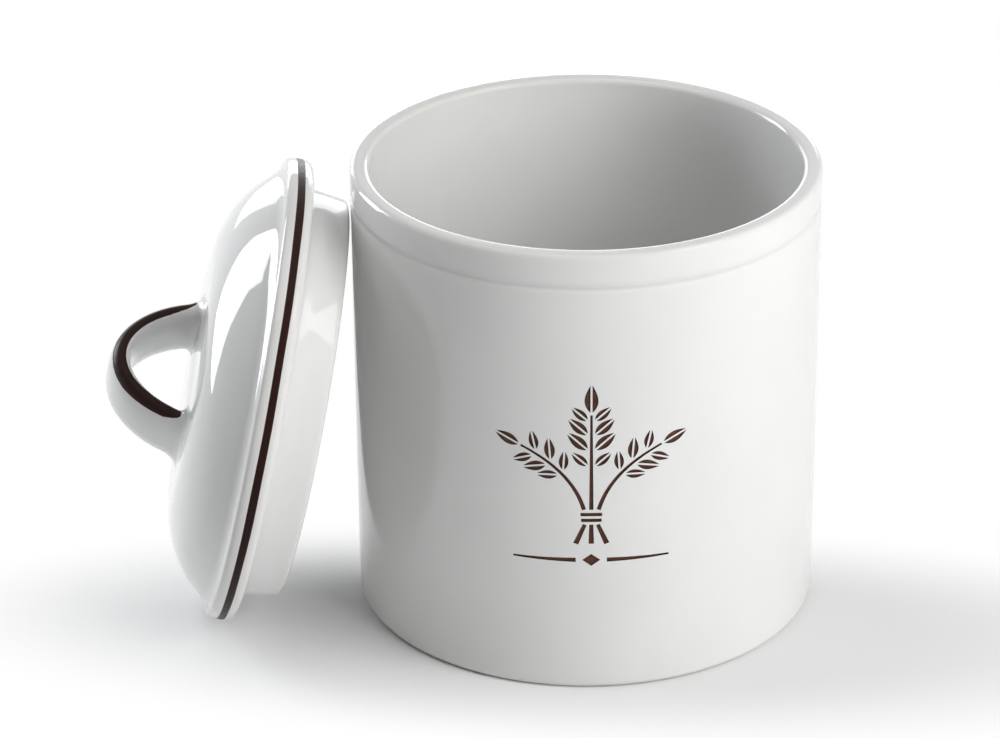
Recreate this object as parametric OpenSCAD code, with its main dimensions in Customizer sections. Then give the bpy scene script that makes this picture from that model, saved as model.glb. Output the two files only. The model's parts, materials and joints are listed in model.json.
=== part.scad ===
// Round glazed stoneware canister with a loose domed lid.
// The lid is off the jar: it stands on its rim and leans on the jar's side.
// Origin: centre of the foot, on the surface that the jar stands on. +Z is up, millimetres.

/* [Jar] */
// Outer diameter of the jar
jar_d = 170; // [140:1:220]
// Height of the jar, foot to lip
jar_h = 170; // [130:1:240]
// Thickness of the jar's wall
jar_wall = 7; // [5:0.5:11]
// Thickness of the jar's floor, above the hollow of the foot
jar_floor = 7; // [5:0.5:12]
// Radius of the lip's two edges
lip_round = 2.2; // [1:0.1:2.4]
// Radius of the outer edge at the bottom
base_round = 2.5; // [1:0.1:4]
// Radius inside, where the wall meets the floor
cavity_round = 9; // [3:0.5:15]

/* [Groove under the lip] */
// Distance from the lip down to the middle of the groove
groove_drop = 12.6; // [8:0.1:24]
// Width of the groove
groove_w = 3.2; // [2:0.1:5]
// Depth of the groove
groove_depth = 0.7; // [0.3:0.1:1]

/* [Foot ring] */
// Width of the unglazed ring that the jar stands on
foot_ring_w = 8; // [5:0.5:14]
// Depth of the hollow inside the foot ring
foot_hollow = 2; // [1:0.5:4]

/* [Lid] */
// How far the lid's rim stands out past the jar, negative when it is set back
rim_overhang = 0.5; // [-1.5:0.1:4]
// Radius of the rim's lower edge
rim_round = 3.2; // [2:0.1:3.5]
// Radius at which the rim's face leans in, above its dark line
bead_round = 7; // [5:0.5:12]
// Angle through which it leans in, degrees
bead_turn = 24; // [15:1:35]
// Radius of the rim's upper edge
rim_top_round = 1.4; // [0.8:0.1:2.2]
// Radius of the hollow between the rim and the dome
hollow_round = 10; // [6:0.5:14]
// Radius of the dome's shoulder, which rises to a flat crown
shoulder_round = 45; // [36:0.5:48]
// Slope at which the hollow leaves the rim, degrees
rim_slope = 11; // [0:1:20]
// Slope where the hollow turns into the shoulder, the steepest of the dome, degrees
dome_slope = 51; // [40:1:54]
// Thickness of the lid's wall
lid_wall = 6.5; // [5:0.5:9]

/* [Plug skirt] */
// How far the skirt reaches down into the jar
skirt_h = 15; // [10:0.5:25]
// Room between the skirt and the jar's mouth, on each side
skirt_clearance = 2.5; // [1:0.1:4]
// How much the skirt narrows on each side by its lower edge
skirt_draft = 1.6; // [0.5:0.1:3]
// Radius of the two edges at the skirt's end
skirt_round = 2.2; // [1:0.1:2.4]

/* [Strap handle] */
// Length of the handle's loop, outside to outside
handle_span = 54; // [40:0.5:58]
// Height of the handle above the crown
handle_h = 30.5; // [26:0.5:42]
// Width of the strap
strap_w = 28; // [16:0.5:32]
// Thickness of the strap at its middle
strap_t = 8.5; // [6:0.5:9]
// Radius where the strap's ends spread onto the crown, and height at which its dark lines end
foot_round = 4; // [2:0.5:6]
// Turn of the handle about the lid's axis, degrees
handle_turn = 55; // [0:1:90]
// How far the handle's middle is below the lid's axis, as the lid leans
handle_shift = 1.5; // [0:0.1:3]

/* [Dark glaze lines] */
// Width of the line round the rim
rim_line_w = 2.8; // [1.5:0.1:4]
// Height of that line's middle above the lip
rim_line_z = 5; // [4.8:0.1:6]
// Depth of the glaze in the rim
rim_line_depth = 0.6; // [0.3:0.1:1]
// Depth of the glaze lines along the strap's two edges
strap_line_depth = 1.2; // [0.6:0.1:2]

/* [Place of the lid] */
// Where the lid is: off and leaning on the jar, or seated on the lip
lid_place = "leaning"; // [leaning, seated]
// Angle between the leaning lid's rim and the vertical, degrees
lean_tilt = 12.5; // [8:0.1:20]
// How far the leaning lid stands in front of the jar's middle
lean_shift = 5; // [0:0.5:12]
// Gap between the leaning lid's skirt and the jar
lean_gap = 0.3; // [0.2:0.1:1]

/* [Hidden] */

glaze_white = "#ECEBE8";
glaze_dark = "#38221E";

// Segments round a full turn, and along one profile arc
turn_steps = 180;
arc_steps = 8;

// Jar
jar_r = jar_d / 2;
mouth_r = jar_r - jar_wall;
floor_top = foot_hollow + jar_floor;
groove_z = jar_h - groove_drop;
// The groove is a circle's arc: its radius from its width and depth
groove_r = (pow(groove_w / 2, 2) + pow(groove_depth, 2)) / (2 * groove_depth);
groove_half_angle = asin(groove_w / 2 / groove_r);
foot_in_r = jar_r - base_round - foot_ring_w;

// Lid, in its own frame: axis on Z, the rim's seat on the lip at z = 0
rim_r = jar_r + rim_overhang;
bead_centre = [rim_r - bead_round, rim_line_z + rim_line_w / 2];
rim_top_centre = bead_centre + (bead_round - rim_top_round) * [cos(bead_turn), sin(bead_turn)];
hollow_centre = rim_top_centre + (rim_top_round + hollow_round) * [sin(rim_slope), cos(rim_slope)];
shoulder_centre = hollow_centre - (hollow_round + shoulder_round) * [sin(dome_slope), cos(dome_slope)];
crown_r = shoulder_centre[0];
crown_h = shoulder_centre[1] + shoulder_round;
skirt_r = mouth_r - skirt_clearance;
skirt_end_r = skirt_r - skirt_draft;
skirt_in_r = skirt_end_r - lid_wall;
// Inside, the shoulder keeps the wall's thickness down to the skirt
inner_round = shoulder_round - lid_wall;
inner_end_angle = acos((skirt_in_r - crown_r) / inner_round);

// Handle, in its own frame: span on X, strap width on Y, the crown at z = 0
loop_half = handle_span / 2 - strap_t / 2;
loop_h = handle_h - strap_t / 2;
strap_half_w = strap_w / 2;
line_at = strap_half_w - strap_line_depth;
// Roundness of the strap's section: 2 is an ellipse, more is fuller
strap_fullness = 2.5;
// How pointed the loop is: 1 is a half ellipse, 2 a parabola
loop_point = 1.25;
// Where the section meets the glaze line, which lies a little towards the loop's outside
line_angle = acos(pow(line_at / strap_half_w, strap_fullness / 2));
line_out = line_angle + 5;
line_in = line_angle - 5;
// Share of the line's breadth that is left at its tips
tip_share = 0.35;
// Rings along each spread end and along the loop between them
foot_rings = 5;
loop_rings = 32;
// Segments across one face of the strap, and across one glaze line
face_steps = 10;
line_steps = 6;

// Leaning lid: the rim's lower edge is on the ground and the skirt's end edge leans on the jar.
// That edge is a tube of radius skirt_round round a ring, edge_drop below the lid's seat.
lean_z = (rim_r - rim_round) * cos(lean_tilt) + rim_round * (1 - sin(lean_tilt));
edge_r = skirt_end_r - skirt_round;
edge_drop = skirt_h - skirt_round;
edge_z = lean_z - edge_drop * sin(lean_tilt);
// The ring leans with its top, or beside the lip where its top is higher than the jar
touch_angle = acos(min(1, (jar_h - edge_z) / (edge_r * cos(lean_tilt))));
touch_y = max(0, edge_r * sin(touch_angle) - lean_shift);
lean_x = -sqrt(pow(jar_r + lean_gap, 2) - pow(touch_y, 2)) - skirt_round
    - edge_drop * cos(lean_tilt)
    - edge_r * cos(touch_angle) * sin(lean_tilt);

// Points on an arc from angle a to angle b
function arc(centre, r, a, b) = [
    for (i = [0 : arc_steps])
        let (t = a + (b - a) * i / arc_steps)
            centre + r * [cos(t), sin(t)]
];

// Jar: one revolved profile, from the hollow of the foot round to the floor of the cavity
module jar() {
    color(glaze_white)
        rotate_extrude($fn = turn_steps)
            polygon(concat(
                [[0, foot_hollow], [foot_in_r - foot_hollow, foot_hollow], [foot_in_r, 0]],
                arc([jar_r - base_round, base_round], base_round, -90, 0),
                arc([jar_r - groove_depth + groove_r, groove_z], groove_r,
                    180 + groove_half_angle, 180 - groove_half_angle),
                arc([jar_r - lip_round, jar_h - lip_round], lip_round, 0, 90),
                arc([mouth_r + lip_round, jar_h - lip_round], lip_round, 90, 180),
                arc([mouth_r - cavity_round, floor_top + cavity_round], cavity_round, 0, -90),
                [[0, floor_top]]
            ));
}

// Band of the rim's edge that the dark glaze fills
module rim_line_section() {
    translate([rim_r - rim_line_depth, rim_line_z - rim_line_w / 2])
        square([rim_line_depth, rim_line_w]);
}

// Profile of the lid: crown, shoulder and hollow make the ogee; then bullnose rim and plug skirt
module lid_section() {
    difference() {
        polygon(concat(
            [[0, crown_h]],
            arc(shoulder_centre, shoulder_round, 90, 90 - dome_slope),
            arc(hollow_centre, hollow_round, 270 - dome_slope, 270 - rim_slope),
            arc(rim_top_centre, rim_top_round, 90 - rim_slope, bead_turn),
            arc(bead_centre, bead_round, bead_turn, 0),
            arc([rim_r - rim_round, rim_round], rim_round, 0, -90),
            [[skirt_r, 0]],
            arc([skirt_end_r - skirt_round, skirt_round - skirt_h], skirt_round, 0, -90),
            arc([skirt_in_r + skirt_round, skirt_round - skirt_h], skirt_round, -90, -180),
            arc(shoulder_centre, inner_round, inner_end_angle, 90),
            [[0, crown_h - lid_wall]]
        ));
        rim_line_section();
    }
}

// Carries the lid's own frame to where the lid is
module place_lid() {
    if (lid_place == "seated")
        translate([0, 0, jar_h]) children();
    else
        translate([lean_x, -lean_shift, lean_z]) rotate([0, lean_tilt - 90, 0]) children();
}

module lid() {
    color(glaze_white)
        place_lid()
            rotate_extrude($fn = turn_steps) lid_section();
}

module rim_line() {
    color(glaze_dark)
        place_lid()
            rotate_extrude($fn = turn_steps) rim_line_section();
}

// Strap's section: a full oval, [across the width, across the thickness]
function signed_power(v, p) = sign(v) * pow(abs(v), p);
function strap_point(t, half_t) = [
    strap_half_w * signed_power(cos(t), 2 / strap_fullness),
    half_t * signed_power(sin(t), 2 / strap_fullness)
];
function angles(a, b, steps) = [for (i = [0 : steps]) a + (b - a) * i / steps];
// The strap itself and its glaze line share the section; they meet on a flat chord
function core_angles(share) = concat(
    angles(line_out * share, 180 - line_out * share, face_steps),
    angles(180 + line_in * share, 360 - line_in * share, face_steps)
);
function line_angles(share) = angles(-line_in * share, line_out * share, line_steps);

// Heights of the rings on a spread end, closer together near the crown
foot_heights = [for (i = [0 : foot_rings]) foot_round * (1 - cos(90 * i / foot_rings))];
foot_turns = [for (h = foot_heights) asin(pow(h / loop_h, 1 / loop_point))];
top_turn = foot_turns[foot_rings];
loop_turns = concat(
    foot_turns,
    [for (i = [1 : loop_rings - 1]) top_turn + (180 - 2 * top_turn) * i / loop_rings],
    [for (i = [foot_rings : -1 : 0]) 180 - foot_turns[i]]
);
// The glaze lines run between the spread ends
line_turns = [for (turn = loop_turns) if (turn >= top_turn && turn <= 180 - top_turn) turn];
function line_share(turn) = turn > top_turn && turn < 180 - top_turn ? 1 : tip_share;

// Half the strap's thickness at a height above the crown, wider where it spreads
function spread(h) =
    h >= foot_round ? 0 : foot_round - sqrt(pow(foot_round, 2) - pow(foot_round - h, 2));
function half_thickness(h) = strap_t / 2 + spread(h);

// One ring of the loop: the section stood square to a pointed half ellipse, and level on the crown
function loop_ring(turn, section_angles) =
    let (
        h = loop_h * pow(sin(turn), loop_point),
        rise = pow(sin(turn), 2 - loop_point) / (loop_point * loop_h),
        out = [cos(turn) / loop_half, 0, rise * min(1, h / foot_round)],
        normal = out / norm(out)
    ) [
        for (t = section_angles)
            let (p = strap_point(t, half_thickness(h)))
                [loop_half * cos(turn), p[0], h] + normal * p[1]
    ];

// A skin over rings of points, closed flat at both ends.
// Each side is split along its first or its second diagonal, so that two skins can share it.
module skin(rings, second_diagonal) {
    count = len(rings[0]);
    last = (len(rings) - 1) * count;
    sides = [
        for (i = [0 : len(rings) - 2], j = [0 : count - 1])
            let (a = i * count + j, b = i * count + (j + 1) % count, c = a + count, d = b + count)
                each second_diagonal ? [[a, b, d], [a, d, c]] : [[a, b, c], [b, d, c]]
    ];
    near_end = [for (j = [count - 1 : -1 : 0]) j];
    far_end = [for (j = [0 : count - 1]) last + j];
    polyhedron([for (ring = rings) each ring], concat(sides, [near_end, far_end]));
}

// Carries the handle's own frame onto the lid's crown
module place_handle() {
    place_lid()
        translate([-handle_shift, 0, crown_h]) rotate([0, 0, handle_turn]) children();
}

module lid_handle() {
    color(glaze_white)
        place_handle()
            skin([for (turn = loop_turns) loop_ring(turn, core_angles(line_share(turn)))], false);
}

// Dark glaze along one edge of the strap, from one spread end to the other
module handle_line(side) {
    color(glaze_dark)
        place_handle()
            rotate([0, 0, side])
                skin([for (turn = line_turns) loop_ring(turn, line_angles(line_share(turn)))], true);
}

jar();
lid();
rim_line();
lid_handle();
handle_line(0);  // handle_line_left
handle_line(180);  // handle_line_right
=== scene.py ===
"""Looks of a round glazed stoneware canister whose domed lid is off and leans on the jar's side.

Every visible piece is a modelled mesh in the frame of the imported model. Sizes are in millimetres
and become metres where a mesh is made. Angles are in degrees unless a comment says radians.
"""
import cmath
import json
import math

import bpy
import numpy as np
from mathutils import Matrix, Quaternion, Vector
from mathutils.geometry import delaunay_2d_cdt


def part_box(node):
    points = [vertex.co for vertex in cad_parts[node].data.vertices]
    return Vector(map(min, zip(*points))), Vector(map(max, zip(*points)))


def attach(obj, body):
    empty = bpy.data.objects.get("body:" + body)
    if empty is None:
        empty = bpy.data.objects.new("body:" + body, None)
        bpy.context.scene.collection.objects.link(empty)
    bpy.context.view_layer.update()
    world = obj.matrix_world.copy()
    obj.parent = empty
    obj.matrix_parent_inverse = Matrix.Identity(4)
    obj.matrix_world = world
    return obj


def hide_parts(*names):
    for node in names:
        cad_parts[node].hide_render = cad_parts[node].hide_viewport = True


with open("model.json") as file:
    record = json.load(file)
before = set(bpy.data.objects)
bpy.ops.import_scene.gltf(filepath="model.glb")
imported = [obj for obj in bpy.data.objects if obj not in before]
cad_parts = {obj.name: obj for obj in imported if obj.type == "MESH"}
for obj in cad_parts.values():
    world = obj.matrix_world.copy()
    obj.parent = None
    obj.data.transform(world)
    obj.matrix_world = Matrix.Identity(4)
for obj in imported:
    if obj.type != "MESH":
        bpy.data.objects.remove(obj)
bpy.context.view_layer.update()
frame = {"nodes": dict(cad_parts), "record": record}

MM = 0.001
mounts = {mount["name"]: mount for mount in frame["record"]["mounts"]}

# Jar
jar_low, jar_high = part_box("jar")
JAR_R = (jar_high.x - jar_low.x) / 2 / MM
JAR_H = jar_high.z / MM
MOUTH_R = mounts["mouth"]["dims"]["r_mm"]
LIP_ROUND = 2.2
BASE_ROUND = 2.5
CAVITY_ROUND = 9
CAVITY_FLOOR_Z = 9
# Groove: how far its middle lies below the lip, its width and depth, and the points of its outline
GROOVE_DROP = 12.6
GROOVE_W = 3.8
GROOVE_DEPTH = 0.7
GROOVE_POINTS = 25
FOOT_RING_W = 8
FOOT_HOLLOW = 2
# Height up to which the foot ring is left unglazed
BARE_TOP = 0.5

# Lid, in its own frame: axis on Z, the rim's seat on the jar's lip at z = 0
rim_low, rim_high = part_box("rim_line")
RIM_R = (rim_high.y - rim_low.y) / 2 / MM
RIM_ROUND = 3.2
BEAD_ROUND = 7
BEAD_TURN = 24
RIM_TOP_ROUND = 1.4
HOLLOW_ROUND = 10
SHOULDER_ROUND = 45
# Slopes where the rim's top and the dome meet the hollow between them
RIM_SLOPE = 11
DOME_SLOPE = 51
LID_WALL = 6.5
# Skirt: its room in the mouth, and how much narrower it is at its lower end
SKIRT_PLAY = 2.5
SKIRT_DRAFT = 1.6
SKIRT_H = 15
SKIRT_R = MOUTH_R - SKIRT_PLAY
SKIRT_END_R = SKIRT_R - SKIRT_DRAFT
SKIRT_IN_R = SKIRT_END_R - LID_WALL
SKIRT_ROUND = 2.2
SEAT_ROUND = 1.2

# Strap handle, in its own frame: span on X, strap width on Y, the crown at z = 0
# Its turn about the lid's axis, and how far its middle lies below that axis
HANDLE_TURN = 55
HANDLE_SHIFT = 1.5
LOOP_HALF = 22.75
LOOP_H = 26.25
# How pointed the loop is: 1 is a half ellipse, 2 a parabola
LOOP_POINT = 1.35
STRAP_HALF_W = 14
STRAP_HALF_T = 4.25
# Roundness of the strap's section: 2 is an ellipse, more is fuller
STRAP_FULLNESS = 2.5
# Radii of the joint on the crown: under the loop, outside it and beside it
ROOT_IN = 3.5
ROOT_OUT = 6
ROOT_SIDE = 4.5
# How far the strap's ends reach into the crown
ROOT_SUNK = 0.35
# Turn between points round the section, and the rings at each root and along the loop
STRAP_STEP = 5
STRAP_RINGS = (10, 48)

# Dark lines stand a little proud of the glaze and reach into it
LINE_PROUD = 0.07
LINE_SUNK = 0.35

# Dark line on the lid's rim
RIM_LINE_Z = 5
RIM_LINE_W = 2.8
RIM_LINE_STEPS = 480
# How its lower and upper edges waver: (size, waves in a full turn, start in radians)
RIM_LINE_LOW_WAVES = ((0.07, 5, 0.4), (0.05, 13, 2))
RIM_LINE_HIGH_WAVES = ((0.06, 4, 1.3), (0.05, 11, 0))
# Points across each edge: (distance in from the edge, height off the rim, how thin the paint is)
RIM_LINE_EDGE = (
    (LINE_SUNK, -LINE_SUNK, 1),
    (0, -0.01, 1),
    (0.22, 0.7 * LINE_PROUD, 0.6),
    (0.6, LINE_PROUD, 0),
)

# Dark lines on the strap's edges: half their reach round the section, and their end above the crown
STRAP_LINE_HALF = 30
STRAP_LINE_END = 2.2
# Over what height a line narrows, at the upper and the lower root
STRAP_LINE_TAPER = (9, 5)
# Share of its width that a line has at its ends, and how soon it widens: 1 is evenly, less is sooner
STRAP_LINE_TIP = 0.2
STRAP_LINE_WIDENING = 0.6
# How far a line's middle is turned towards the loop's outside at some turns along the loop, by edge
STRAP_LINE_TURNS = (0, 120, 180)
STRAP_LINE_LEAN = {0: (5, 5, 5), 180: (18, 17, -5)}
# How flat a line is: the higher, the closer to its edges it thins
STRAP_LINE_FLATNESS = 6
# Share of its width that a line has where it is sunk
STRAP_LINE_UNDER = 0.94
# Points across a line, and its rings at each root and along the loop
STRAP_LINE_POINTS = 11
STRAP_LINE_RINGS = (8, 56)

# How far glaze rounds an edge, and the spacing at which outlines are worked out
SOFTNESS = 0.55
SAMPLE = 0.15
# Radius of an edge over which glaze thins, or of a hollow that takes painted shade, as far as it can
FLOW_AND_SHADE_ROUND = 2
# Turned pieces: segments in a full turn, most turn between two rows, and longest row
TURN_STEPS = 240
ROW_TURN = 4
ROW_LENGTH = 8
# Most turn between two points of an arc
ARC_STEP = 3
# Edges sharper than this stay sharp on pieces that are swept
SHARP_EDGE = 50


# Outlines of turned pieces

def arc(centre, radius, start, end):
    """Points (r, z) on an arc from one angle to another."""
    count = math.ceil(abs(end - start) / ARC_STEP) + 1
    turns = np.radians(np.linspace(start, end, count))
    r, z = centre
    return [(r + radius * math.cos(turn), z + radius * math.sin(turn)) for turn in turns]


def jar_outline():
    """From the hollow of the foot, up the outside, over the lip and down to the cavity's floor."""
    foot_in_r = JAR_R - BASE_ROUND - FOOT_RING_W
    groove_z = JAR_H - GROOVE_DROP
    groove = [
        (JAR_R - GROOVE_DEPTH * (1 + math.cos(2 * math.pi * share)) / 2, groove_z + GROOVE_W * share)
        for share in np.linspace(-0.5, 0.5, GROOVE_POINTS)
    ]
    return (
        [(0, FOOT_HOLLOW), (foot_in_r - FOOT_HOLLOW, FOOT_HOLLOW), (foot_in_r, 0)]
        + arc((JAR_R - BASE_ROUND, BASE_ROUND), BASE_ROUND, -90, 0)
        + groove
        + arc((JAR_R - LIP_ROUND, JAR_H - LIP_ROUND), LIP_ROUND, 0, 90)
        + arc((MOUTH_R + LIP_ROUND, JAR_H - LIP_ROUND), LIP_ROUND, 90, 180)
        + arc((MOUTH_R - CAVITY_ROUND, CAVITY_FLOOR_Z + CAVITY_ROUND), CAVITY_ROUND, 0, -90)
        + [(0, CAVITY_FLOOR_Z)]
    )


def lid_centres():
    """Centres of the arcs that make the lid's outside: bead, rim's upper edge, hollow and shoulder."""
    lean, shallow, steep = (math.radians(a) for a in (BEAD_TURN, RIM_SLOPE, DOME_SLOPE))
    bead = np.array([RIM_R - BEAD_ROUND, RIM_LINE_Z + RIM_LINE_W / 2])
    top = bead + (BEAD_ROUND - RIM_TOP_ROUND) * np.array([math.cos(lean), math.sin(lean)])
    hollow = top + (RIM_TOP_ROUND + HOLLOW_ROUND) * np.array([math.sin(shallow), math.cos(shallow)])
    shoulder = hollow - (HOLLOW_ROUND + SHOULDER_ROUND) * np.array([math.sin(steep), math.cos(steep)])
    return bead, top, hollow, shoulder


def crown_height():
    """Height of the lid's crown above its seat."""
    shoulder = lid_centres()[-1]
    return shoulder[1] + SHOULDER_ROUND


def lid_outline():
    """From the underside of the crown, round the skirt and the rim, and over the dome."""
    bead, top, hollow, shoulder = lid_centres()
    inner_round = SHOULDER_ROUND - LID_WALL
    inner_end = math.degrees(math.acos((SKIRT_IN_R - shoulder[0]) / inner_round))
    return (
        [(0, crown_height() - LID_WALL)]
        + arc(shoulder, inner_round, 90, inner_end)
        + arc((SKIRT_IN_R + SKIRT_ROUND, SKIRT_ROUND - SKIRT_H), SKIRT_ROUND, 180, 270)
        + arc((SKIRT_END_R - SKIRT_ROUND, SKIRT_ROUND - SKIRT_H), SKIRT_ROUND, -90, 0)
        + arc((SKIRT_R + SEAT_ROUND, -SEAT_ROUND), SEAT_ROUND, 180, 90)
        + arc((RIM_R - RIM_ROUND, RIM_ROUND), RIM_ROUND, -90, 0)
        + arc(bead, BEAD_ROUND, 0, BEAD_TURN)
        + arc(top, RIM_TOP_ROUND, BEAD_TURN, 90 - RIM_SLOPE)
        + arc(hollow, HOLLOW_ROUND, 270 - RIM_SLOPE, 270 - DOME_SLOPE)
        + arc(shoulder, SHOULDER_ROUND, 90 - DOME_SLOPE, 90)
        + [(0, crown_height())]
    )


def softened(points):
    """The outline at an even spacing, with every edge rounded as a thick glaze rounds it.

    Each point becomes a mean of those near it, weighted by a bell curve that ends at three times the
    softness. The outline goes on across the axis as its mirror image, so that it stays level there.
    """
    points = np.array(points, float)
    lengths = np.hypot(*np.diff(points, axis=0).T)
    along = np.concatenate([[0], np.cumsum(lengths)])
    where = np.linspace(0, along[-1], int(along[-1] / SAMPLE) + 1)
    line = np.column_stack([np.interp(where, along, points[:, i]) for i in (0, 1)])
    reach = math.ceil(3 * SOFTNESS / SAMPLE)
    across_axis = np.array([-1, 1])
    padded = np.concatenate([
        line[reach:0:-1] * across_axis,
        line,
        line[-2:-reach - 2:-1] * across_axis,
    ])
    weights = np.exp(-0.5 * (np.arange(-reach, reach + 1) * SAMPLE / SOFTNESS) ** 2)
    weights /= weights.sum()
    line = np.column_stack([np.convolve(padded[:, i], weights, "valid") for i in (0, 1)])
    line[[0, -1], 0] = 0
    return line


def outline_rows(points, kept_z=()):
    """Rows of a turned piece: places, normals and how much each bends out (+) or in (-).

    Rows are close where the outline turns. A row is kept near each height in kept_z, on the
    outermost stretch of the outline.
    """
    line = softened(points)
    steps = np.gradient(line, axis=0)
    heading = np.unwrap(np.arctan2(steps[:, 1], steps[:, 0]))
    bend = np.gradient(heading) / SAMPLE
    outermost = line[:, 0] > line[:, 0].max() - SOFTNESS
    wanted = {int(np.argmin(np.where(outermost, abs(line[:, 1] - z), np.inf))) for z in kept_z}
    chosen = [0]
    for i in range(1, len(line) - 1):
        turned = abs(heading[i] - heading[chosen[-1]])
        far = (i - chosen[-1]) * SAMPLE
        if i in wanted or turned >= math.radians(ROW_TURN) or far >= ROW_LENGTH:
            chosen.append(i)
    chosen.append(len(line) - 1)
    normals = np.column_stack([np.sin(heading), -np.cos(heading)])
    return line[chosen], normals[chosen], np.clip(bend[chosen] * FLOW_AND_SHADE_ROUND, -1, 1)


# Building meshes

class Skin:
    """Collects points, faces, normals at the faces' corners, and each face's material."""

    def __init__(self):
        self.points = []
        self.flow = []
        self.faces = []
        self.corners = []
        self.slots = []

    def point(self, place, flow=0.0):
        """Adds a point; its mark says where glaze or paint thins (+), and where hollows and pressed edges
        take painted shade (-).
        """
        self.points.append(tuple(place))
        self.flow.append(float(flow))
        return len(self.points) - 1

    def face(self, ids, normals=None, slot=0):
        """Adds a face, with its own corner normals or a flat one."""
        if normals is None:
            a, b, c = (Vector(self.points[i]) for i in ids[:3])
            normals = [(b - a).cross(c - a).normalized()] * len(ids)
        self.faces.append(tuple(ids))
        self.corners.extend(tuple(n) for n in normals)
        self.slots.append(slot)

    def piece(self, name, body, materials, place=None, sharp_angle=None):
        """Makes the object, in metres, set on a CAD body.

        It is shaded by its corner normals or, where an angle is given, smoothly between sharper edges.
        """
        mesh = bpy.data.meshes.new(name)
        mesh.from_pydata([Vector(p) * MM for p in self.points], [], self.faces)
        for material in materials:
            mesh.materials.append(material)
        mesh.polygons.foreach_set("material_index", self.slots)
        mesh.polygons.foreach_set("use_smooth", [True] * len(self.faces))
        # Mark of thin glaze and paint, and of painted shade in hollows and pressed edges
        mesh.attributes.new("glaze_flow_and_shade", "FLOAT", "POINT").data.foreach_set("value", self.flow)
        if sharp_angle is None:
            mesh.normals_split_custom_set(self.corners)
        else:
            mesh.set_sharp_from_angle(angle=math.radians(sharp_angle))
        if place is not None:
            mesh.transform(place)
        mesh.update()
        piece = bpy.data.objects.new(name, mesh)
        bpy.context.scene.collection.objects.link(piece)
        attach(piece, body)
        return piece


def turned_place(r, turn, z):
    """Point at a radius, an angle in radians and a height."""
    return (r * math.cos(turn), r * math.sin(turn), z)


def column_turns(first_turn, count):
    """Angles in radians of a turned piece's columns."""
    return first_turn + np.arange(count) * 2 * math.pi / TURN_STEPS


def turn_profile(skin, rows, first_turn=0.0, window=(0, 0, 0), slot_of=None):
    """Revolves an outline that starts and ends on the axis, from a first angle in radians.

    window = (first row, last row, columns) leaves those columns, from column 0, open between the rows.
    Returns the ids of the points, by row and column.
    """
    places, normals, bends = rows
    open_low, open_high, open_columns = window
    turns = column_turns(first_turn, TURN_STEPS)
    last = len(places) - 1
    ids, facing = [], {}
    for row, ((r, z), (out, up), bend) in enumerate(zip(places, normals, bends)):
        if row in (0, last):
            lone = skin.point((0, 0, z), bend)
            ids.append([lone] * TURN_STEPS)
            facing[lone] = (0, 0, math.copysign(1, up))
            continue
        ids.append([])
        for turn in turns:
            ids[-1].append(skin.point(turned_place(r, turn, z), bend))
            facing[ids[-1][-1]] = turned_place(out, turn, up)
    for row in range(last):
        slot = slot_of(places[row], places[row + 1]) if slot_of else 0
        for column in range(TURN_STEPS):
            if open_low <= row < open_high and column < open_columns:
                continue
            after = (column + 1) % TURN_STEPS
            ring = [ids[row][column], ids[row][after], ids[row + 1][after], ids[row + 1][column]]
            ring = list(dict.fromkeys(ring))
            skin.face(ring, [facing[i] for i in ring], slot)
    return ids


def sweep(skin, rings, closed=False):
    """Joins rings of point ids, with flat ends where the sweep isn't closed.

    Faces look outward where each ring runs clockwise, seen against the direction of the sweep.
    """
    pairs = list(zip(rings, rings[1:]))
    if closed:
        pairs.append((rings[-1], rings[0]))
    for ring, following in pairs:
        for here in range(len(ring)):
            after = (here + 1) % len(ring)
            skin.face([ring[here], following[here], following[after], ring[after]])
    if not closed:
        skin.face(rings[0])
        skin.face(rings[-1][::-1])


# Ornament pressed into the jar's front: a bunch of three leafy sprigs over a tapered rule.
# Points are complex numbers, across + 1j * up, in millimetres from the ornament's middle.
# Each shape is a function of an inset, which gives its outline drawn in by that much.

# Place on the jar: height of the middle, and its angle about the jar's axis
ORNAMENT_Z = 85.5
ORNAMENT_AT = -92
PRESS_DEPTH = 0.45
# How far the pressed edge slopes in
PRESS_SLOPE = 0.3
# Window in the jar's wall that the ornament fills: its columns, and its lower and upper height
WINDOW_COLUMNS = 36
WINDOW_LOW = 44
WINDOW_HIGH = 124
# How far off the jar's radius a row may lie that counts as plain wall
WALL_SLACK = 0.01
# Patch in the window: spacing of points between its shapes, and distance at which two count as one
PATCH_GRID = 2.8
PATCH_MERGE = 1e-6
# What the triangulation is asked for: triangles all over the patch
ALL_TRIANGLES = 0

# Leaves: gap along the rib, width as a share of length, turn from the stem, and distance off it
RIB_GAP = 0.7
LEAF_SLIM = 0.42
LEAF_SPREAD = 48
LEAF_STAND_OFF = 1.3
# Where a leaf is widest: 1 is halfway along, less is nearer the stem
LEAF_BELLY = 0.8
# Width at which half a leaf ends, points along it, and places at which its ends are looked for
LEAF_END_W = 0.02
LEAF_POINTS = 15
LEAF_PLACES = 401

# Sprigs: start, bend and end of the stem, and pairs of leaves as (share of the stem, length)
STEM_W = (1.5, 0.8)
STEM_POINTS = 25
MIDDLE_STEM = (-13j, 6j, 24j)
MIDDLE_LEAVES = ((0.46, 8), (0.63, 10), (0.79, 9.5), (0.94, 8))
MIDDLE_END_LEAF = 11.5
SIDE_STEM = (2.6 - 13j, 7 + 3j, 25 + 11j)
SIDE_LEAVES = ((0.52, 8), (0.69, 9), (0.86, 8))
SIDE_END_LEAF = 10

# Ties round the bunch as (height, length), and the stalks below them
TIES = ((-14.9, 7.6), (-17.2, 7.2))
TIE_W = (1.3, 1.3)
TIE_POINTS = 9
STALK_ENDS = (-5.5 - 26.5j, -26.5j, 5.5 - 26.5j)
STALK_TOP = -18.9j
# Share of a stalk's distance from the middle that is left at its top
STALK_GATHER = 0.42
STALK_W = (1.4, 1.9)
STALK_POINTS = 7

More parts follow.
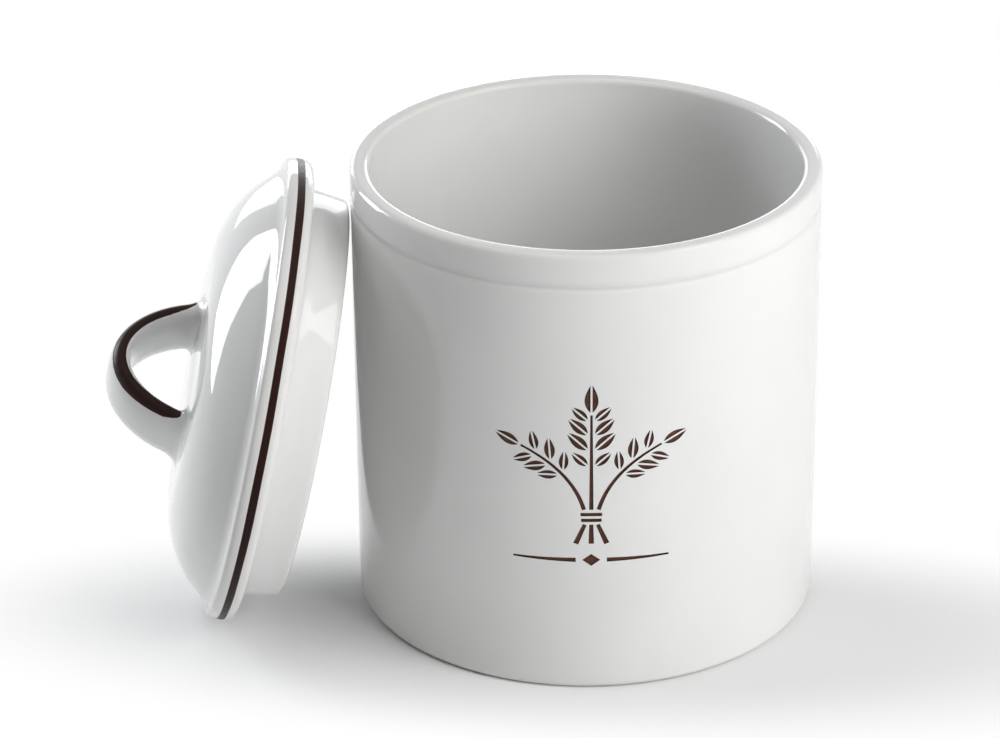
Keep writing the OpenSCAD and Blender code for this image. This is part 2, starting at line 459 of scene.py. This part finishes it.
# Rule under the bunch, with a diamond in its middle
RULE_UP = -33j
RULE_FROM = 5.5
RULE_TO = 28
RULE_W = (1.7, 0.7)
RULE_POINTS = 19
DIAMOND_HALF_W = 3.2
DIAMOND_HALF_H = 2.4


def leaf_half_width(share, length):
    """Half a leaf's width at a share of its length."""
    return LEAF_SLIM * length / 2 * np.sin(np.pi * share ** LEAF_BELLY)


def half_leaf(base, heading, length, side, inset):
    """One side of a leaf, along its rib."""
    share = np.linspace(0, 1, LEAF_PLACES)
    room = np.flatnonzero(leaf_half_width(share, length) - RIB_GAP / 2 - 2 * inset > LEAF_END_W)
    share = np.linspace(share[room[0]], share[room[-1]], LEAF_POINTS)
    rib = base + heading * (length * share[[0, -1]] + side * 1j * (RIB_GAP / 2 + inset))
    edge = base + heading * (length * share + side * 1j * (leaf_half_width(share, length) - inset))
    return np.concatenate([rib, edge[::-1]])


def leaf(base, heading, length):
    """Both halves of a leaf."""
    return [
        lambda inset, side=side: half_leaf(base, heading, length, side, inset)
        for side in (1, -1)
    ]


def band(path, widths, inset):
    """A strip along a path, from one width to another."""
    path = np.array(path, complex)
    along = np.gradient(path)
    along /= abs(along)
    path[0] += along[0] * inset
    path[-1] -= along[-1] * inset
    side = 1j * along * (np.linspace(*widths, len(path)) / 2 - inset)
    return np.concatenate([path + side, (path - side)[::-1]])


def diamond(centre, half_w, half_h, inset):
    """A diamond that stands on its point."""
    keep = 1 - inset * math.hypot(half_w, half_h) / (half_w * half_h)
    return centre + keep * np.array([half_w, 1j * half_h, -half_w, -1j * half_h])


def sprig(stem, leaf_pairs, end_leaf):
    """A curved stem with pairs of leaves along it, and one leaf at its end."""
    start, bend, end = stem

    def at(share):
        return (1 - share) ** 2 * start + 2 * share * (1 - share) * bend + share ** 2 * end

    shapes = [lambda inset: band(at(np.linspace(0, 1, STEM_POINTS)), STEM_W, inset)]
    for share, length in leaf_pairs:
        along = (1 - share) * (bend - start) + share * (end - bend)
        along /= abs(along)
        for side in (1, -1):
            base = at(share) + side * 1j * along * LEAF_STAND_OFF
            spread = cmath.exp(1j * side * math.radians(LEAF_SPREAD))
            shapes += leaf(base, along * spread, length)
    along = (end - bend) / abs(end - bend)
    return shapes + leaf(end + RIB_GAP * along, along, end_leaf)


def ornament_shapes():
    """All shapes of the ornament."""
    shapes = sprig(MIDDLE_STEM, MIDDLE_LEAVES, MIDDLE_END_LEAF)
    for side in (1, -1):
        stem = [complex(side * p.real, p.imag) for p in SIDE_STEM]
        shapes += sprig(stem, SIDE_LEAVES, SIDE_END_LEAF)
    for up, length in TIES:
        tie = np.linspace(-length / 2, length / 2, TIE_POINTS) + 1j * up
        shapes.append(lambda inset, tie=tie: band(tie, TIE_W, inset))
    for end in STALK_ENDS:
        stalk = np.linspace(STALK_GATHER * end.real + STALK_TOP, end, STALK_POINTS)
        shapes.append(lambda inset, stalk=stalk: band(stalk, STALK_W, inset))
    shapes.append(lambda inset: diamond(RULE_UP, DIAMOND_HALF_W, DIAMOND_HALF_H, inset))
    for side in (1, -1):
        rule = np.linspace(side * RULE_FROM, side * RULE_TO, RULE_POINTS) + RULE_UP
        shapes.append(lambda inset, rule=rule: band(rule, RULE_W, inset))
    return shapes


def inside(outline, points):
    """Which points lie in a closed outline."""
    found = np.zeros(len(points), bool)
    for a, b in zip(outline, np.roll(outline, -1)):
        crosses = (a.imag > points.imag) != (b.imag > points.imag)
        if crosses.any():
            at = a.real + (points.imag - a.imag) / (b.imag - a.imag) * (b.real - a.real)
            found ^= crosses & (points.real < at)
    return found


def inside_any(outlines, points):
    """Which points lie in one of several closed outlines."""
    return np.any([inside(outline, points) for outline in outlines], axis=0)


def window_border(low, high, columns):
    """Row and column of each point round the window, along its lowest row first."""
    return (
        [(low, column) for column in range(columns)]
        + [(row, columns) for row in range(low, high)]
        + [(high, column) for column in range(columns, 0, -1)]
        + [(row, 0) for row in range(high, low, -1)]
    )


def open_grid(across, up, outlines):
    """Points of a grid, outside the outlines and over a third of its spacing from their points."""
    columns = np.arange(across[0] + PATCH_GRID, across[1] - PATCH_GRID / 2, PATCH_GRID)
    rows = np.arange(up[0] + PATCH_GRID, up[1] - PATCH_GRID / 2, PATCH_GRID)
    grid = (columns[None, :] + 1j * rows[:, None]).ravel()
    drawn = np.concatenate(outlines)
    near = abs(grid[:, None] - drawn[None, :]).min(axis=1) <= PATCH_GRID / 3
    return grid[~near & ~inside_any(outlines, grid)]


def press_ornament(skin, ids, window, rows, first_turn):
    """Fills the window in the jar's wall with a skin that has the ornament pressed into it."""
    low, high, columns = window
    wall_r = rows[0][low:high + 1, 0].mean()
    middle_turn = math.radians(ORNAMENT_AT)
    row_up = rows[0][:, 1] - ORNAMENT_Z
    column_across = (column_turns(first_turn, columns + 1) - middle_turn) * wall_r
    border = window_border(*window)
    border_ids = [ids[row][column] for row, column in border]
    border_outline = [complex(column_across[column], row_up[row]) for row, column in border]
    shapes = ornament_shapes()
    outer = [shape(0.0) for shape in shapes]
    inner = [shape(PRESS_SLOPE) for shape in shapes]
    points, edges = [], []
    for outline in [border_outline, *outer, *inner]:
        start, count = len(points), len(outline)
        edges += [(start + i, start + (i + 1) % count) for i in range(count)]
        points += list(outline)
    last_inner = len(points)
    first_inner = last_inner - sum(len(outline) for outline in inner)
    points += list(open_grid(column_across[[0, -1]], row_up[[low, high]], outer + inner))
    flat = [Vector((p.real, p.imag)) for p in points]
    made, _, faces, origins, _, _ = delaunay_2d_cdt(flat, edges, [], ALL_TRIANGLES, PATCH_MERGE, True)
    placed, facing = [], []
    for place, origin in zip(made, origins):
        turn = middle_turn + place.x / wall_r
        on_border = [border_ids[i] for i in origin if i < len(border)]
        pressed = any(first_inner <= i < last_inner for i in origin)
        # Pressed points are marked for the stain's dark edges, which are partly painted shade
        depth, flow = (PRESS_DEPTH, -1) if pressed else (0, 0)
        if on_border:
            placed.append(on_border[0])
        else:
            placed.append(skin.point(turned_place(wall_r - depth, turn, place.y + ORNAMENT_Z), flow))
        facing.append(turned_place(1, turn, 0))
    spots = np.array([complex(*place) for place in made])
    middles = spots[np.array(faces)].mean(axis=1)
    for face, pressed, level in zip(faces, inside_any(outer, middles), inside_any(inner, middles)):
        corners = [placed[i] for i in face]
        normals = None if pressed and not level else [facing[i] for i in face]
        skin.face(corners, normals, JAR_SLOTS.index("motif" if pressed else "white"))


# Materials

class Shading:
    """The node tree of a material or of the world, built node by node."""

    # Sockets for colours on a mix node, whose names are shared with other kinds of values
    MIX_SHARE, MIX_FIRST, MIX_SECOND, MIX_RESULT = 0, 6, 7, 2
    # Range that holds most of a noise
    NOISE_MIDDLE = (0.3, 0.7)

    def __init__(self, owner):
        owner.use_nodes = True
        self.owner = owner
        self.tree = owner.node_tree
        self.tree.nodes.clear()

    def node(self, kind, inputs, **settings):
        """Adds a node and returns its outputs.

        An input is another node's output, a colour as (red, green, blue), or any other value.
        """
        node = self.tree.nodes.new("ShaderNode" + kind)
        for setting, value in settings.items():
            setattr(node, setting, value)
        for socket, value in inputs.items():
            if isinstance(value, bpy.types.NodeSocket):
                self.tree.links.new(value, node.inputs[socket])
            elif isinstance(value, tuple):
                node.inputs[socket].default_value = (*value, 1)
            else:
                node.inputs[socket].default_value = value
        return node.outputs

    def place(self):
        """Place on the piece, in its own frame."""
        return self.node("TexCoord", {})["Object"]

    def noise(self, scale, detail):
        """Noise over the piece; scale is in cells per metre."""
        return self.node("TexNoise", {"Vector": self.place(), "Scale": scale, "Detail": detail})["Fac"]

    def ranged(self, value, start, end, low=0.0, high=1.0, interpolation="LINEAR"):
        """Goes from low to high as a value goes from start to end."""
        inputs = {"Value": value, "From Min": start, "From Max": end, "To Min": low, "To Max": high}
        return self.node("MapRange", inputs, interpolation_type=interpolation)["Result"]

    def drift(self, scale, detail, low=0.0, high=1.0):
        """Noise whose middle is spread over a range of values."""
        return self.ranged(self.noise(scale, detail), *self.NOISE_MIDDLE, low, high)

    def flow(self, start, end):
        """0 to 1 as the points' mark of thin glaze and painted shade goes from start to end."""
        return self.ranged(self.node("Attribute", {}, attribute_name="glaze_flow_and_shade")["Fac"], start, end)

    def mixed(self, share, first, second):
        """Colour between two."""
        inputs = {self.MIX_SHARE: share, self.MIX_FIRST: first, self.MIX_SECOND: second}
        return self.node("Mix", inputs, data_type="RGBA")[self.MIX_RESULT]

    def bumped(self, scale, detail, depth):
        """Normal of a surface that a noise makes uneven by a depth."""
        inputs = {"Height": self.noise(scale, detail), "Distance": depth * MM, "Strength": 1.0}
        return self.node("Bump", inputs)["Normal"]

    def seen_directly(self):
        """1 for rays from the camera or off a glossy or clear surface, else 0."""
        path = self.node("LightPath", {})
        total = path["Is Camera Ray"]
        for kind in ("Is Glossy Ray", "Is Transmission Ray"):
            total = self.node("Math", {0: total, 1: path[kind]}, operation="MAXIMUM")["Value"]
        return total

    def either(self, share, first, second):
        """Shader between two."""
        return self.node("MixShader", {0: share, 1: first, 2: second})["Shader"]

    def ceramic(self, colour, roughness, normal, ior):
        """Finishes a material of the object and returns it."""
        inputs = {"Base Color": colour, "Roughness": roughness, "Normal": normal, "IOR": ior}
        self.node("OutputMaterial", {"Surface": self.node("BsdfPrincipled", inputs)["BSDF"]})
        return self.owner


def white_glaze():
    """Thick glossy white: warmer where it thins over edges, and greyer in concave hollows and creases,
    which is painted shade.
    """
    glaze = Shading(bpy.data.materials.new("white_glaze"))
    drift = glaze.drift(scale=22, detail=3)
    body = glaze.mixed(drift, (0.80, 0.80, 0.79), (0.83, 0.828, 0.818))
    thin = glaze.mixed(glaze.flow(start=0.15, end=1.0), body, (0.80, 0.785, 0.76))
    # Greyer in concave hollows and creases: painted shade
    colour = glaze.mixed(glaze.flow(start=-0.1, end=-1.0), thin, (0.74, 0.74, 0.73))
    roughness = glaze.drift(scale=140, detail=3, low=0.03, high=0.065)
    normal = glaze.bumped(scale=38, detail=1, depth=0.22)
    return glaze.ceramic(colour, roughness, normal, ior=1.52)


def dark_glaze():
    """Dark brown painted glaze, redder where the brush left it thin."""
    glaze = Shading(bpy.data.materials.new("dark_glaze"))
    drift = glaze.drift(scale=260, detail=4)
    body = glaze.mixed(drift, (0.016, 0.0055, 0.0042), (0.026, 0.0088, 0.0065))
    colour = glaze.mixed(glaze.flow(start=0.1, end=1.0), body, (0.055, 0.02, 0.013))
    roughness = glaze.drift(scale=500, detail=3, low=0.3, high=0.42)
    normal = glaze.bumped(scale=350, detail=3, depth=0.04)
    return glaze.ceramic(colour, roughness, normal, ior=1.2)


def motif_brown():
    """Brown stain in the pressed ornament, half matt: redder on the floor, and dark along the pressed
    edges, partly stain pooled there and partly painted shade.
    """
    stain = Shading(bpy.data.materials.new("motif_brown"))
    drift = stain.drift(scale=330, detail=4)
    floor = stain.mixed(drift, (0.062, 0.021, 0.011), (0.125, 0.045, 0.026))
    # Dark along the pressed edges: stain pooled there, with painted shade
    colour = stain.mixed(stain.flow(start=-1.0, end=-0.4), floor, (0.017, 0.0055, 0.0032))
    roughness = stain.drift(scale=600, detail=3, low=0.34, high=0.5)
    normal = stain.bumped(scale=900, detail=3, depth=0.03)
    return stain.ceramic(colour, roughness, normal, ior=1.3)


def bare_stoneware():
    """Unglazed foot: pale, dry and finely grained."""
    clay = Shading(bpy.data.materials.new("bare_stoneware"))
    drift = clay.drift(scale=900, detail=5)
    colour = clay.mixed(drift, (0.60, 0.52, 0.42), (0.74, 0.66, 0.56))
    roughness = clay.drift(scale=400, detail=3, low=0.75, high=0.95)
    normal = clay.bumped(scale=2200, detail=4, depth=0.06)
    return clay.ceramic(colour, roughness, normal, ior=1.45)


WHITE = white_glaze()
DARK = dark_glaze()
JAR_SLOTS = ["white", "motif", "bare"]
JAR_MATERIALS = [WHITE, motif_brown(), bare_stoneware()]


# Jar

def wall_row(places, z):
    """Row of the jar's plain wall that is nearest to a height."""
    wall = np.flatnonzero(abs(places[:, 0] - JAR_R) < WALL_SLACK)
    return int(wall[np.argmin(abs(places[wall, 1] - z))])


def make_jar():
    """The jar, with a window in its front that the pressed ornament fills."""
    rows = outline_rows(jar_outline(), (WINDOW_LOW, WINDOW_HIGH))
    window = (wall_row(rows[0], WINDOW_LOW), wall_row(rows[0], WINDOW_HIGH), WINDOW_COLUMNS)
    column_step = 2 * math.pi / TURN_STEPS
    first_turn = math.radians(ORNAMENT_AT) - column_step * WINDOW_COLUMNS / 2

    def slot_of(start, end):
        on_foot = max(start[1], end[1]) < BARE_TOP
        return JAR_SLOTS.index("bare" if on_foot else "white")

    skin = Skin()
    ids = turn_profile(skin, rows, first_turn, window, slot_of)
    press_ornament(skin, ids, window, rows, first_turn)
    jar = skin.piece("jar_body", "jar", JAR_MATERIALS)
    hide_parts("jar")


# Lid

def lid_frame():
    """Matrix of the lid's own frame, from the ring of its glaze line.

    Z runs along the lid's axis, out of the dome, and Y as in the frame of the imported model.
    """
    points = np.array([vertex.co for vertex in frame["nodes"]["rim_line"].data.vertices])
    centre = (rim_low + rim_high) / 2
    # The ring's points spread least along its axis, and the dome faces -X
    _, _, directions = np.linalg.svd(points - np.array(centre), full_matrices=False)
    axis = Vector(directions[-1])
    if axis.x > 0:
        axis = -axis
    side = Vector((0, 1, 0))
    up = side.cross(axis).normalized()
    place = Matrix((up, side, axis)).transposed().to_4x4()
    place.translation = centre - axis * RIM_LINE_Z * MM
    return place


LID_PLACE = lid_frame()
HANDLE_PLACE = (
    LID_PLACE
    @ Matrix.Translation((-HANDLE_SHIFT * MM, 0, crown_height() * MM))
    @ Matrix.Rotation(math.radians(HANDLE_TURN), 4, "Z")
)


def make_lid():
    """The lid's dome, rim and skirt."""
    skin = Skin()
    turn_profile(skin, outline_rows(lid_outline()))
    lid = skin.piece("lid_dome", "lid", [WHITE], LID_PLACE)
    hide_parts("lid")


def waver(turn, waves):
    """How far a painted edge strays at an angle in radians."""
    return sum(size * math.sin(count * turn + start) for size, count, start in waves)


def make_rim_line():
    """A painted ring: thin, closed, with edges that waver a little."""
    skin = Skin()
    rings = []
    for step in range(RIM_LINE_STEPS):
        turn = 2 * math.pi * step / RIM_LINE_STEPS
        low = RIM_LINE_Z - RIM_LINE_W / 2 + waver(turn, RIM_LINE_LOW_WAVES)
        high = RIM_LINE_Z + RIM_LINE_W / 2 + waver(turn, RIM_LINE_HIGH_WAVES)
        section = [(RIM_R + lift, low + inset, thin) for inset, lift, thin in RIM_LINE_EDGE]
        for inset, lift, thin in reversed(RIM_LINE_EDGE):
            section.append((RIM_R + lift, high - inset, thin))
        rings.append([skin.point(turned_place(r, turn, z), thin) for r, z, thin in section])
    sweep(skin, rings, closed=True)
    line = skin.piece("rim_glaze_line", "lid", [DARK], LID_PLACE, SHARP_EDGE)
    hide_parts("rim_line")


# Strap handle

def rounded_in(height, radius):
    """How far a joint of a radius reaches out, at a height above the crown."""
    if height >= radius:
        return 0.0
    return radius - math.sqrt(radius ** 2 - (radius - height) ** 2)


def strap_section(angle, height):
    """Point and normal on the strap's section, (across the width, across the thickness)."""
    cosine = math.cos(math.radians(angle))
    sine = math.sin(math.radians(angle))
    half_w = STRAP_HALF_W + rounded_in(height, ROOT_SIDE)
    half_t = STRAP_HALF_T + rounded_in(height, ROOT_OUT if sine > 0 else ROOT_IN)
    power = 2 / STRAP_FULLNESS
    x = math.copysign(abs(cosine) ** power, cosine)
    y = math.copysign(abs(sine) ** power, sine)
    normal = Vector((
        math.copysign(abs(x) ** (STRAP_FULLNESS - 1), x) / half_w,
        math.copysign(abs(y) ** (STRAP_FULLNESS - 1), y) / half_t,
    )).normalized()
    return Vector((half_w * x, half_t * y)), normal


def loop_height(turn):
    """Height of the strap's middle above the crown."""
    return LOOP_H * max(0.0, math.sin(math.radians(turn))) ** LOOP_POINT


def loop_turn(height):
    """Turn at which the strap's middle reaches a height."""
    return math.degrees(math.asin((height / LOOP_H) ** (1 / LOOP_POINT)))


def strap_point(turn, angle, lift=0.0):
    """Point on the strap: turn along the loop, angle round the section, lifted off the surface."""
    cosine = math.cos(math.radians(turn))
    sine = max(0.0, math.sin(math.radians(turn)))
    height = loop_height(turn)
    # The section lies square to the loop's course, and level on the crown
    rise = sine ** (2 - LOOP_POINT) / (LOOP_POINT * LOOP_H)
    rise *= min(1, height / ROOT_OUT)
    out = Vector((cosine / LOOP_HALF, 0, rise)).normalized()
    place, normal = strap_section(angle, height)
    place = place + normal * lift
    return Vector((LOOP_HALF * cosine, place.x, height)) + out * place.y


def loop_turns(lowest, root_rings, loop_rings):
    """Turns along the loop from a height on one side to the same on the other, closer at the ends."""
    top = max(ROOT_OUT, lowest)
    shares = [1 - math.cos(math.pi / 2 * i / root_rings) for i in range(root_rings)]
    first = [loop_turn(lowest + (top - lowest) * share) for share in shares]
    start = loop_turn(top)
    middle = list(np.linspace(start, 180 - start, loop_rings))
    return first + middle + [180 - turn for turn in reversed(first)]


def make_handle():
    """The strap, from one root on the crown to the other."""
    skin = Skin()
    angles = np.arange(0, 360, STRAP_STEP)
    turns = loop_turns(0, *STRAP_RINGS)
    rings = [[skin.point(strap_point(turn, angle)) for angle in angles] for turn in turns]

    def sunk(ring):
        return [skin.point(Vector(skin.points[i]) - Vector((0, 0, ROOT_SUNK))) for i in ring]

    sweep(skin, [sunk(rings[0]), *rings, sunk(rings[-1])])
    handle = skin.piece("strap_handle", "lid", [WHITE], HANDLE_PLACE, SHARP_EDGE)
    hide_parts("lid_handle")


def make_handle_line(side):
    """Dark line along one edge of the strap, from root to root; side is the edge's angle, 0 or 180."""
    skin = Skin()
    rings = []
    outward = 1 if side == 0 else -1
    shares = np.linspace(-1, 1, STRAP_LINE_POINTS)
    for turn in loop_turns(STRAP_LINE_END, *STRAP_LINE_RINGS):
        middle = side + outward * np.interp(turn, STRAP_LINE_TURNS, STRAP_LINE_LEAN[side])
        taper = STRAP_LINE_TAPER[0 if turn < 90 else 1]
        from_end = min(1.0, max(0.0, (loop_height(turn) - STRAP_LINE_END) / taper))
        wide = STRAP_LINE_TIP + (1 - STRAP_LINE_TIP) * from_end ** STRAP_LINE_WIDENING
        half = STRAP_LINE_HALF * wide
        ring = []
        for share in shares:
            thin = abs(share) ** STRAP_LINE_FLATNESS
            place = strap_point(turn, middle + half * share, LINE_PROUD * (1 - thin))
            ring.append(skin.point(place, thin))
        for share in reversed(shares):
            place = strap_point(turn, middle + half * STRAP_LINE_UNDER * share, -LINE_SUNK)
            ring.append(skin.point(place, 1))
        rings.append(ring)
    sweep(skin, rings)
    name = "left" if side == 0 else "right"
    line = skin.piece("strap_glaze_line_" + name, "lid", [DARK], HANDLE_PLACE, SHARP_EDGE)
    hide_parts("handle_line_" + name)


# Studio: pale floor, white surroundings, soft lamps and the camera

NEUTRAL = (1, 1, 1)
COOL = (0.93, 0.97, 1)
AMBIENT = (0.98, 0.99, 1)
AMBIENT_STRENGTH = 0.08
# Floor: half its size in metres, how far it lies below the foot, and its colour as it is seen and as
# it lights the object
FLOOR_HALF = 6.0
FLOOR_DROP = 0.1
FLOOR_SEEN = (0.88, 0.88, 0.88)
FLOOR_BOUNCE = (0.85, 0.85, 0.85)
# Shadow on the floor: its middle, its turn, and how far it reaches to the sides, to front and back,
# and up
POOL_AT = Vector((6, -43, -FLOOR_DROP)) * MM
POOL_TURN = -7
POOL_REACH = Vector((268, 87, 1000)) * MM
# Shares of that reach between which it fades to white
POOL_FADE = (0.4, 1.0)
LAMP_AIM = Vector((-30, 0, 80)) * MM
# Camera, as the photograph was taken: what it aims at, where it stands, and its lens
CAMERA_AIM = Vector((-31.54, 1.10, 86.5))
CAMERA_AZIMUTH = -2.0
CAMERA_ELEVATION = 25.86
CAMERA_DISTANCE = 1460.9
CAMERA_ROLL = -0.54
CAMERA_LENS = 142.74
CAMERA_SENSOR = 36
# Distance in metres up to which the camera sees
CAMERA_SIGHT = 50


def pale_floor():
    """Shaded near the object and plain white further off, where it is seen directly."""
    shading = Shading(bpy.data.materials.new("pale_floor"))
    seen = shading.seen_directly()
    colour = shading.mixed(seen, FLOOR_BOUNCE, FLOOR_SEEN)
    shaded = shading.node("BsdfDiffuse", {"Color": colour})["BSDF"]
    white = shading.node("Emission", {"Color": NEUTRAL, "Strength": 1.0})["Emission"]
    place = shading.place()
    shares = shading.node("VectorMath", {0: place, 1: POOL_REACH}, operation="DIVIDE")["Vector"]
    away = shading.node("VectorMath", {0: shares}, operation="LENGTH")["Value"]
    fade = shading.ranged(away, *POOL_FADE, interpolation="SMOOTHSTEP")
    share = shading.node("Math", {0: fade, 1: seen}, operation="MULTIPLY")["Value"]
    shading.node("OutputMaterial", {"Surface": shading.either(share, shaded, white)})
    return shading.owner


def make_floor():
    """A wide plane whose own middle is the middle of the shadow."""
    mesh = bpy.data.meshes.new("floor")
    corners = [(-1, -1), (1, -1), (1, 1), (-1, 1)]
    mesh.from_pydata([(FLOOR_HALF * x, FLOOR_HALF * y, 0) for x, y in corners], [], [(0, 1, 2, 3)])
    mesh.materials.append(pale_floor())
    floor = bpy.data.objects.new("floor", mesh)
    floor.location = POOL_AT
    floor.rotation_euler.z = math.radians(POOL_TURN)
    bpy.context.scene.collection.objects.link(floor)


def make_world():
    """White where it is seen directly, and a faint light from all round."""
    shading = Shading(bpy.data.worlds.new("studio"))
    shown = shading.node("Background", {"Color": NEUTRAL, "Strength": 1.0})["Background"]
    ambient = shading.node("Background", {"Color": AMBIENT, "Strength": AMBIENT_STRENGTH})["Background"]
    either = shading.either(shading.seen_directly(), ambient, shown)
    shading.node("OutputWorld", {"Surface": either})
    bpy.context.scene.world = shading.owner


def toward(azimuth, elevation):
    """Unit vector from the object; azimuth 0 is the side that faces -Y, 90 faces +X."""
    side, up = math.radians(azimuth), math.radians(elevation)
    return Vector((math.sin(side) * math.cos(up), -math.cos(side) * math.cos(up), math.sin(up)))


def softbox(name, azimuth, elevation, distance, size, power, colour=NEUTRAL, mirrored=True):
    """An area lamp, in metres and watts, that faces the object; glossy surfaces may mirror it."""
    lamp = bpy.data.lights.new(name, "AREA")
    lamp.shape = "RECTANGLE"
    lamp.size, lamp.size_y = size
    lamp.energy = power
    lamp.color = colour
    holder = bpy.data.objects.new(name, lamp)
    holder.visible_glossy = mirrored
    back = toward(azimuth, elevation)
    holder.location = LAMP_AIM + back * distance
    holder.rotation_mode = "QUATERNION"
    holder.rotation_quaternion = back.to_track_quat("Z", "Y")
    bpy.context.scene.collection.objects.link(holder)


def make_lamps():
    """A soft key from the right, two lamps from above, and two behind that the glaze mirrors."""
    softbox("key", azimuth=48, elevation=26, distance=1.0, size=(0.6, 0.6), power=6.9, mirrored=False)
    softbox("high_side", azimuth=60, elevation=48, distance=1.2, size=(0.4, 0.4), power=1.2)
    softbox("top", azimuth=-60, elevation=78, distance=1.5, size=(1.1, 1.1), power=4.5)
    softbox("strip", azimuth=-124, elevation=14, distance=1.3, size=(0.5, 0.9), power=11.6, colour=COOL)
    softbox("backdrop", azimuth=-177, elevation=9, distance=1.6, size=(1.56, 0.7), power=8.3, colour=COOL)


def make_camera():
    """The camera that took the photograph."""
    data = bpy.data.cameras.new("camera")
    data.sensor_width = CAMERA_SENSOR
    data.lens = CAMERA_LENS
    data.clip_end = CAMERA_SIGHT
    camera = bpy.data.objects.new("camera", data)
    back = toward(CAMERA_AZIMUTH, CAMERA_ELEVATION)
    camera.location = (CAMERA_AIM + back * CAMERA_DISTANCE) * MM
    camera.rotation_mode = "QUATERNION"
    roll = Quaternion((0, 0, 1), math.radians(CAMERA_ROLL))
    camera.rotation_quaternion = back.to_track_quat("Z", "Y") @ roll
    bpy.context.scene.collection.objects.link(camera)
    bpy.context.scene.camera = camera


make_jar()
make_lid()
make_rim_line()
make_handle()
make_handle_line(0)
make_handle_line(180)
make_floor()
make_world()
make_lamps()
make_camera()

scene = bpy.context.scene
scene.view_settings.view_transform = "Standard"
